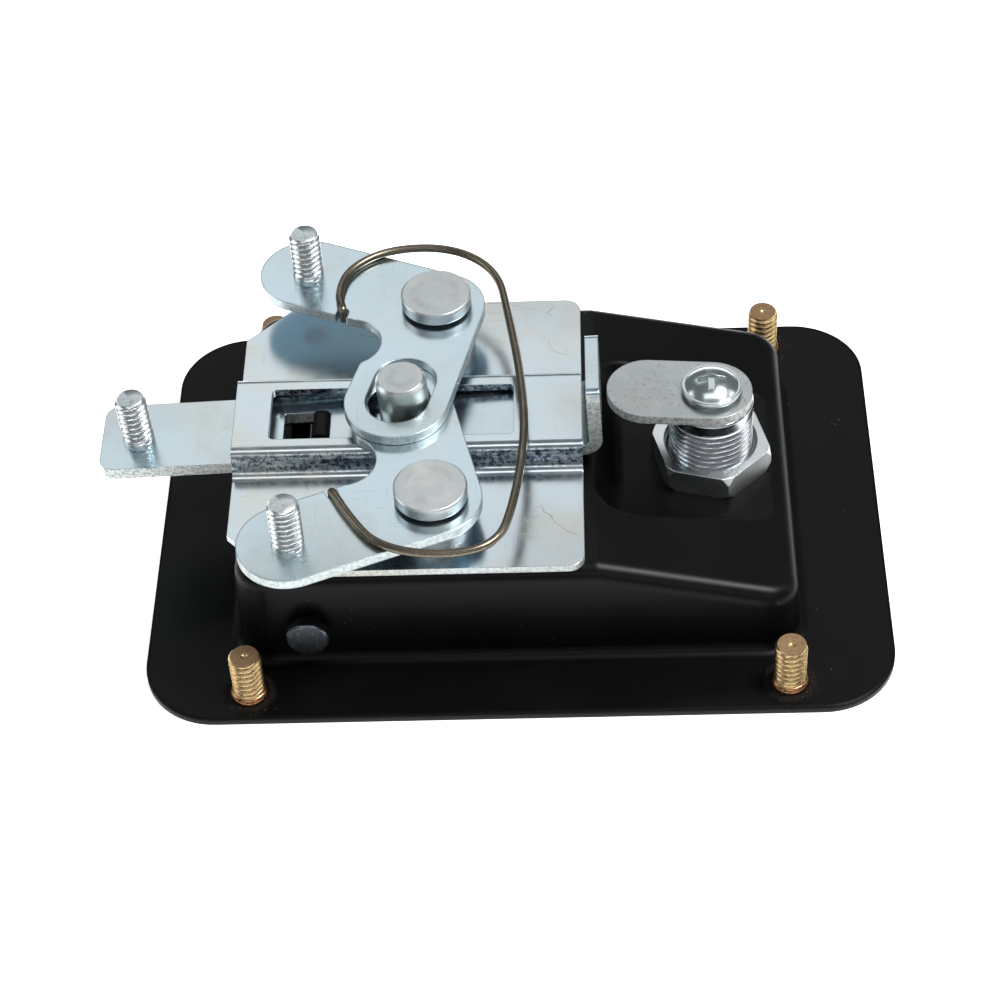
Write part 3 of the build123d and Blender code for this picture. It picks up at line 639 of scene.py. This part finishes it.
class Pattern:
    """A Geometry Nodes tree that sets its object's mesh out on a rectangular grid."""

    def __init__(self, name: str) -> None:
        """Build the tree, with its spacings, turn, seed and material as named inputs."""
        self.tree = bpy.data.node_groups.new(name, "GeometryNodeTree")
        ports = self.tree.interface
        ports.new_socket("Piece", in_out="INPUT", socket_type="NodeSocketGeometry")
        for label in ("Spacing X", "Spacing Y"):
            ports.new_socket(label, in_out="INPUT", socket_type="NodeSocketFloat")
        ports.new_socket("Turn", in_out="INPUT", socket_type="NodeSocketFloat")
        ports.new_socket("Seed", in_out="INPUT", socket_type="NodeSocketInt")
        ports.new_socket("Finish", in_out="INPUT", socket_type="NodeSocketMaterial")
        ports.new_socket("Pieces", in_out="OUTPUT", socket_type="NodeSocketGeometry")
        source = self._add("NodeGroupInput", {})
        grid = self._add("GeometryNodeMeshGrid", {"Vertices X": 2, "Vertices Y": 2})
        self._join(source, "Spacing X", grid, "Size X")
        self._join(source, "Spacing Y", grid, "Size Y")
        turn = self._add("FunctionNodeRandomValue", {})
        self._join(source, "Seed", turn, "Seed")
        self._join(source, "Turn", turn, 3)
        spin = self._add("ShaderNodeCombineXYZ", {})
        self._join(turn, 1, spin, "Z")
        spread = self._add("GeometryNodeInstanceOnPoints", {})
        self._join(grid, "Mesh", spread, "Points")
        self._join(source, "Piece", spread, "Instance")
        self._join(spin, "Vector", spread, "Rotation")
        solid = self._add("GeometryNodeRealizeInstances", {})
        self._join(spread, "Instances", solid, "Geometry")
        paint = self._add("GeometryNodeSetMaterial", {})
        self._join(solid, "Geometry", paint, "Geometry")
        self._join(source, "Finish", paint, "Material")
        self._join(paint, "Geometry", self._add("NodeGroupOutput", {}), "Pieces")

    def _add(self, kind: str, values: dict) -> bpy.types.Node:
        """Add a node and set its inputs."""
        made = self.tree.nodes.new(kind)
        for key, value in values.items():
            made.inputs[key].default_value = value
        return made

    def _join(self, a: bpy.types.Node, out: str | int, b: bpy.types.Node, into: str | int) -> None:
        """Link one node's output to another's input."""
        self.tree.links.new(a.outputs[out], b.inputs[into])

    def apply(self, piece: bpy.types.Object, values: dict[str, object]) -> bpy.types.Object:
        """Run the tree on a piece and keep the result as a plain mesh.

        Args:
            piece: the object whose mesh is repeated.
            values: the tree's inputs, by name.

        Returns:
            The same object, with the repeated mesh and no modifier.
        """
        modifier = piece.modifiers.new("pattern", "NODES")
        modifier.node_group = self.tree
        for item in self.tree.interface.items_tree:
            if item.in_out == "INPUT" and item.name in values:
                modifier[item.identifier] = values[item.name]
        shown = piece.evaluated_get(bpy.context.evaluated_depsgraph_get())
        mesh = bpy.data.meshes.new_from_object(shown)
        piece.modifiers.remove(modifier)
        piece.data = mesh
        return piece


# ---------------------------------------------------------------- sub-assemblies


def lean_of(record: dict, joint: str) -> float:
    """Lean of a sliding joint's axis out of the flange's plane, in radians."""
    axis = next(j["axis"] for j in record["behaviour"]["joints"] if j["name"] == joint)
    return math.atan2(axis[2], axis[0])


def mount_of(record: dict, name: str) -> dict:
    """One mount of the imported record."""
    return next(m for m in record["mounts"] if m["name"] == name)


@dataclass
class Housing:
    """The pressed pan with its weld studs, guide plate, pivots and hinge pin."""

    record: dict
    nodes: dict
    stud_height: float = 10.2
    stud_radius: float = 3.0
    collar_radius: float = 3.6
    collar_height: float = 1.2
    ring_share: float = 0.35

    def studs(self) -> bpy.types.Object:
        """Thread one weld stud and set four of them out on the flange.

        Returns:
            The four studs as one piece.
        """
        dims = mount_of(self.record, "mounting_studs")["dims"]
        h, r = self.stud_height, self.stud_radius
        profile = [
            (0.0, 0.0),
            (self.collar_radius - 0.25, 0.0),
            (self.collar_radius, 0.22),
            (self.collar_radius - 0.08, self.collar_height * 0.6),
            (r + 0.12, self.collar_height),
            (r, self.collar_height + 0.05),
            (r, h - 0.5),
            (r - 0.3, h),
            (0.72, h),
            (0.5, h - 0.22),
            (0.0, h - 0.42),
        ]
        stud = Turned("weld_studs", profile, threads=(Thread(1.3, h + 0.3),), segments=64).build()
        finish = ThreadMetal(
            "gold_passivate", (0.66, 0.46, 0.225), (0.09, 0.042, 0.018), (0.38, 0.245, 0.135), h - 0.4, 0.25
        )
        values = {
            "Spacing X": dims["spacing_x_mm"] * MM,
            "Spacing Y": dims["spacing_y_mm"] * MM,
            "Turn": 6.2,
            "Seed": 4,
            "Finish": self._collared(finish.build()),
        }
        Pattern("stud_pattern").apply(stud, values)
        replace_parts(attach(stud, "housing"), "mounting_studs")
        return stud

    def _collared(self, material: bpy.types.Material) -> bpy.types.Material:
        """Tint the studs' feet with the copper of their weld collars."""
        g = Graph(material)
        below = Sock(g, g.shader.inputs["Base Color"].links[0].from_socket)
        low = g.part(g.place, Axis.Z).step((self.collar_height + 0.5) * MM, self.collar_height * 0.8 * MM)
        scale = g.noise(1500.0, 4.0, 0.7).step(0.42, 0.66)
        copper = g.mix(scale, (0.42, 0.17, 0.075), (0.09, 0.04, 0.022))
        return g.finish(Base_Color=g.mix(low * 0.9, below, copper))

    def dress(self) -> None:
        """Give the pan, plate, pivots and pin their finishes."""
        dims = mount_of(self.record, "mounting_studs")["dims"]
        half_x, half_y = dims["spacing_x_mm"] / 2, dims["spacing_y_mm"] / 2
        corners = tuple((sx * half_x, sy * half_y) for sx in (-1, 1) for sy in (-1, 1))
        dress(self.nodes["pan"], PowderCoat("black_powder_coat", scorched=corners).build())
        # The guide plate's channel walls get painted shade.
        plate = ZincPlate(
            "zinc_guide_plate",
            cloudiness=0.75,
            shine=0.16,
            edges=CutEdges.ENDS,
            hairlines=0.5,
            shaded_wall=9.2,
            edge_from=34.5,
        )
        dress(self.nodes["guide_plate"], plate.build())
        for side in ("upper", "lower"):
            low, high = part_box(f"{side}_pivot_rivet")
            centre = (low + high) / 2 * TO_MM
            ring = (centre.x, centre.y, (high.x - low.x) * TO_MM * self.ring_share)
            head = ZincPlate(f"zinc_{side}_rivet", (0.56, 0.6, 0.62), shine=0.3, worn_ring=ring)
            dress(self.nodes[f"{side}_pivot_rivet"], head.build())
            tube = ZincPlate(f"zinc_{side}_spacer", (0.5, 0.57, 0.62), shine=0.2)
            dress(self.nodes[f"{side}_pivot_spacer"], tube.build())
        pin = DullSteel("dark_pin_steel", (0.09, 0.1, 0.115), (0.42, 0.45, 0.46), shine=0.22)
        dress(self.nodes["paddle_pin"], pin.build())


@dataclass
class Paddle:
    """The black paddle and the tongue that works the slide bar."""

    nodes: dict

    def dress(self) -> None:
        """Give both their finishes."""
        dress(self.nodes["paddle"], PowderCoat("black_paddle_coat").build())
        dress(self.nodes["paddle_tongue"], PowderCoat("black_tongue_coat").build())


@dataclass
class RodStud:
    """A threaded stud for a lock rod, riveted into the plate below it."""

    node: str
    body: str
    mount: str
    seat: float
    record: dict
    length: float = 10.2
    radius: float = 3.0
    rivet_radius: float = 2.5
    rivet_depth: float = 2.0
    lean: float = 0.0

    def build(self) -> bpy.types.Object:
        """Thread the stud and stand it on its seat.

        Returns:
            The finished piece, riding on its body.
        """
        spot = Vector(mount_of(self.record, self.mount)["pos_m"]) * TO_MM
        up = Vector((-math.sin(self.lean), 0, math.cos(self.lean)))
        foot = spot - up * ((spot.z - self.seat) / up.z)
        profile = [
            (0.0, -self.rivet_depth),
            (self.rivet_radius, -self.rivet_depth),
            (self.rivet_radius, -0.001),
            (self.radius, 0.0),
            (self.radius, self.length - 0.7),
            (self.radius - 0.45, self.length - 0.12),
            (self.radius - 0.65, self.length),
            (0.0, self.length),
        ]
        thread = Thread(0.15, self.length + 0.5)
        piece = Turned(f"{self.node}_thread", profile, tuple(foot), self.lean, (thread,), 64).build()
        tip = (foot + up * (self.length - 0.4)).z
        finish = ThreadMetal(
            f"zinc_{self.node}", (0.78, 0.82, 0.82), (0.07, 0.11, 0.125), (0.68, 0.74, 0.75), tip, 0.17
        )
        dress(piece, finish.build())
        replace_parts(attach(piece, self.body), self.node)
        return piece


@dataclass
class SlideBar:
    """The slide bar with its tab, drive pin and rod stud."""

    nodes: dict
    stud_middle: float = 5.0
    ring_shift: float = -0.2
    ring_radius: float = 2.9

    def dress(self) -> None:
        """Give the bar and the pin their finishes."""
        bar = ZincPlate("zinc_slide_bar", (0.58, 0.69, 0.74), cloudiness=0.45, edges=CutEdges.SIDES, torn=0.7)
        dress(self.nodes["slide_bar"], bar.build())
        low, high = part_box("drive_pin")
        centre = (low + high) / 2 * TO_MM
        ring = (centre.x + self.ring_shift, centre.y, self.ring_radius)
        pin = ZincPlate("zinc_drive_pin", (0.58, 0.64, 0.67), shine=0.22, worn_ring=ring)
        dress(self.nodes["drive_pin"], pin.build())


@dataclass
class Lever:
    """One of the two bell-crank levers."""

    node: str
    nodes: dict

    def dress(self) -> None:
        """Give the lever its finish."""
        # painted shade: the lever's underside is darkened
        plate = ZincPlate(
            f"zinc_{self.node}", (0.56, 0.675, 0.73), cloudiness=0.3, shine=0.17, edges=CutEdges.UPRIGHT, torn=0.4,
            under_shade=0.9, soft_edge=0.4
        )
        dress(self.nodes[self.node], plate.build())


@dataclass
class BowSpring:
    """The bow of round wire that joins the two levers."""

    wire: float = 0.8
    upper: float = 33.2
    lower: float = 31.1
    hook: tuple[float, float] = (-33.2, 23.5)
    drop: float = 2.9
    route: tuple[tuple[float, float], ...] = (
        (-34.3, 28.0),
        (-32.5, 35.4),
        (-24.5, 41.0),
        (-12.0, 40.9),
        (-3.2, 33.6),
        (-1.0, 21.0),
        (1.5, 4.0),
        (2.3, -11.0),
        (0.2, -28.0),
        (-2.8, -38.3),
        (-13.5, -40.6),
        (-24.4, -37.8),
        (-29.6, -30.5),
    )

    def _points(self) -> list[tuple[float, float, float]]:
        """The bow's control points, from the upper hook to the lower."""
        x, y = self.hook
        bow = [(x, y)] + list(self.route) + [(x, -y)]
        points = []
        for px, py in bow:
            share = min(1.0, max(0.0, (py / y + 1) / 2))
            points.append((px, py, self.lower + share * (self.upper - self.lower)))
        first, last = points[0], points[-1]
        head = [(x, y, first[2] - self.drop), (x, y, first[2] - 0.9)]
        tail = [(x, -y, last[2] - 0.9), (x, -y, last[2] - self.drop)]
        return head + points + tail

    def build(self) -> bpy.types.Object:
        """Draw the wire along its control points and make it a closed tube.

        Returns:
            The finished piece.
        """
        curve = bpy.data.curves.new("bow_spring_line", "CURVE")
        curve.dimensions = "3D"
        spline = curve.splines.new("NURBS")
        points = self._points()
        spline.points.add(len(points) - 1)
        for point, spot in zip(spline.points, points):
            point.co = (*(Vector(spot) * MM), 1.0)
        spline.order_u = 3
        spline.use_endpoint_u = True
        spline.resolution_u = 14
        curve.bevel_depth = self.wire * MM
        curve.bevel_resolution = 5
        curve.use_fill_caps = True
        drawn = bpy.data.objects.new("bow_spring_line", curve)
        bpy.context.scene.collection.objects.link(drawn)
        mesh = bpy.data.meshes.new_from_object(drawn.evaluated_get(bpy.context.evaluated_depsgraph_get()))
        bpy.data.objects.remove(drawn)
        mesh.shade_smooth()
        piece = bpy.data.objects.new("bow_spring", mesh)
        bpy.context.scene.collection.objects.link(piece)
        steel = DullSteel("spring_wire", (0.165, 0.145, 0.11), (0.38, 0.34, 0.27), 0.3, 0.22, (1.0, 0.25, 1.0))
        dress(piece, steel.build())
        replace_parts(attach(piece, "housing"), "wire_spring")
        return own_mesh(piece)


@dataclass
class KeyLock:
    """The cam lock: threaded barrel, nut, plug, cam and screw."""

    nodes: dict
    neck_start: float = 26.9
    bore: float = 5.76
    neck_bore: float = 4.56
    body: float = 7.95
    pitch: float = 1.27
    thread_depth: float = 0.6

    def barrel(self) -> bpy.types.Object:
        """Turn the barrel with its thread and smooth neck, hollow for the plug.

        Returns:
            The finished piece.
        """
        low, high = (corner * TO_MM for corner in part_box("lock_barrel"))
        x = (low.x + high.x) / 2
        head = (high.x - low.x) / 2
        front, top = low.z, high.z
        profile = [
            (self.bore, front),
            (head - 0.5, front),
            (head, front + 0.5),
            (head, front + 2.7),
            (self.body, front + 2.701),
            (self.body, self.neck_start),
            (self.body - 0.02, self.neck_start + 0.02),
            (self.body - 0.02, top - 0.3),
            (self.body - 0.3, top),
            (self.neck_bore, top),
            (self.neck_bore, top - 2.5),
            (self.bore, top - 2.501),
        ]
        thread = Thread(front + 3.0, self.neck_start, self.pitch, self.thread_depth)
        piece = Turned("lock_barrel_thread", profile, (x, 0, 0), 0.0, (thread,), 96, True).build()
        finish = BrightCasting("chromed_barrel", (0.7, 0.72, 0.75), 0.1, (0.09, 0.095, 0.1))
        dress(piece, finish.build())
        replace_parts(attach(piece, "housing"), "lock_barrel")
        return piece

    def dress(self) -> None:
        """Give the other pieces of the lock their finishes."""
        nut = ZincPlate(
            "zinc_lock_nut", (0.66, 0.7, 0.71), cloudiness=0.4, shine=0.22, edges=CutEdges.UPRIGHT, torn=0.2
        )
        dress(self.nodes["lock_nut"], nut.build())
        cam = ZincPlate(
            "zinc_cam", (0.47, 0.5, 0.5), (0.55, 0.52, 0.45), 0.7, 0.27, CutEdges.UPRIGHT, 0.6, 0.5, soot_from=0.53
        )
        dress(self.nodes["lock_cam"], cam.build())
        screw = ZincPlate("zinc_cam_screw", (0.6, 0.66, 0.66), (0.62, 0.68, 0.56), 0.4, 0.16)
        dress(self.nodes["cam_screw"], screw.build())
        washer = ZincPlate("zinc_cam_washer", (0.52, 0.55, 0.56), shine=0.24)
        dress(self.nodes["cam_washer"], washer.build())
        dress(self.nodes["lock_plug"], BrightCasting("chromed_plug", (0.58, 0.6, 0.62), 0.16).build())
        dress(self.nodes["wafer_tumblers"], BrightCasting("wafer_brass", (0.72, 0.5, 0.2), 0.26).build())


# ---------------------------------------------------------------- studio


@dataclass
class Studio:
    """A white floor, broad soft lights and the camera."""

    eye: tuple[float, float, float] = (0.0156396, -0.377031, 0.3931806)
    yaw: float = -3.133
    pitch: float = 45.778
    roll: float = -3.61
    lens: float = 101.33

    def camera(self) -> None:
        """Stand the camera above and in front of the flange, looking down at the mechanism."""
        yaw, pitch, roll = (math.radians(a) for a in (self.yaw, self.pitch, self.roll))
        ahead = Vector((math.sin(yaw) * math.cos(pitch), math.cos(yaw) * math.cos(pitch), -math.sin(pitch)))
        level = Vector((math.cos(yaw), -math.sin(yaw), 0.0))
        above = level.cross(ahead)
        right = math.cos(roll) * level + math.sin(roll) * above
        up = -math.sin(roll) * level + math.cos(roll) * above
        data = bpy.data.cameras.new("camera")
        data.lens = self.lens
        data.sensor_width = 36.0
        data.clip_start = 0.01
        camera = bpy.data.objects.new("camera", data)
        camera.matrix_world = Matrix(
            [[*row, place] for row, place in zip(zip(right, up, -ahead), self.eye)] + [[0, 0, 0, 1]]
        )
        bpy.context.scene.collection.objects.link(camera)
        bpy.context.scene.camera = camera

    def lamp(self, name: str, spot: tuple[float, float, float], size: tuple[float, float], glow: float) -> None:
        """Hang a rectangular soft light that faces the latch.

        Args:
            name: its name.
            spot: where it hangs, in metres.
            size: width and height, in metres.
            glow: its radiance.
        """
        data = bpy.data.lights.new(name, "AREA")
        data.shape = "RECTANGLE"
        data.size, data.size_y = size
        data.energy = glow * math.pi * size[0] * size[1]
        lamp = bpy.data.objects.new(name, data)
        lamp.location = spot
        lamp.rotation_euler = (Vector((0, 0, 0.02)) - Vector(spot)).to_track_quat("-Z", "Y").to_euler()
        bpy.context.scene.collection.objects.link(lamp)

    def floor(self, level: float) -> None:
        """Lay a wide pale floor that is white under the lights.

        Args:
            level: its height, in metres.
        """
        half = 3.0
        corners = [(-half, -half, level), (half, -half, level), (half, half, level), (-half, half, level)]
        mesh = bpy.data.meshes.new("floor")
        mesh.from_pydata(corners, [], [(0, 1, 2, 3)])
        floor = bpy.data.objects.new("floor", mesh)
        bpy.context.scene.collection.objects.link(floor)
        g = Graph.new("white_floor")
        tone = g.mix(g.noise(3.0, 2.0), (0.9, 0.9, 0.9), (0.92, 0.92, 0.92))
        paint = g.finish(
            Base_Color=tone,
            Roughness=0.9,
            Specular_IOR_Level=0.0,
            Emission_Color=(1.0, 1.0, 1.0),
            Emission_Strength=0.7,
        )
        dress(floor, paint)
        floor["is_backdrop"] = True

    def build(self, level: float) -> None:
        """Set the whole studio up over a floor at the given height."""
        world = bpy.data.worlds.new("studio_air")
        world.use_nodes = True
        world.node_tree.nodes["Background"].inputs["Color"].default_value = (0.86, 0.93, 1.0, 1.0)
        world.node_tree.nodes["Background"].inputs["Strength"].default_value = 0.2
        bpy.context.scene.world = world
        bpy.context.scene.view_settings.view_transform = "Standard"
        self.floor(level)
        self.lamp("back_softbox", (-0.08, 0.62, 0.6), (0.62, 0.36), 0.86)
        self.lamp("left_softbox", (-0.7, 0.05, 0.42), (0.45, 0.5), 1.6)
        self.lamp("overhead_softbox", (0.0, -0.16, 0.85), (0.5, 0.2), 1.7)
        self.lamp("right_softbox", (0.75, 0.1, 0.5), (0.3, 0.4), 1.3)
        self.lamp("shoulder_strip", (0.36, 0.0, 0.76), (0.28, 0.2), 42.0)
        self.lamp("front_strip", (0.0, -0.55, 0.4), (0.9, 0.08), 3.4)
        self.camera()


def main() -> None:
    """Build the latch over its frame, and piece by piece."""
    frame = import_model()
    nodes, record = frame["nodes"], frame["record"]
    cad_box = [list(corner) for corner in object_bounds()]
    Studio().build(cad_box[0][2])
    housing = Housing(record, nodes)
    housing.dress()
    log.info("housing dressed, with %s", housing.studs().name)
    Paddle(nodes).dress()
    log.info("paddle dressed")
    slide = SlideBar(nodes)
    slide.dress()
    lean = lean_of(record, "slide_travel")
    for side in ("upper", "lower"):
        lever = f"{side}_lever"
        Lever(lever, nodes).dress()
        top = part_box(lever)[1].z * TO_MM
        RodStud(f"{side}_rod_stud", lever, f"{side}_rod_pin", top, record).build()
        log.info("%s dressed, with its stud", lever)
    middle = Vector(mount_of(record, "slide_rod_pin")["pos_m"]) * TO_MM
    seat = middle.z - slide.stud_middle * math.cos(lean)
    RodStud("slide_rod_stud", "slide", "slide_rod_pin", seat, record, rivet_depth=2.5, lean=lean).build()
    log.info("slide bar dressed, with its stud")
    log.info("%s drawn", BowSpring().build().name)
    lock = KeyLock(nodes)
    lock.dress()
    log.info("lock dressed, with %s", lock.barrel().name)


if __name__ == "__main__":
    main()
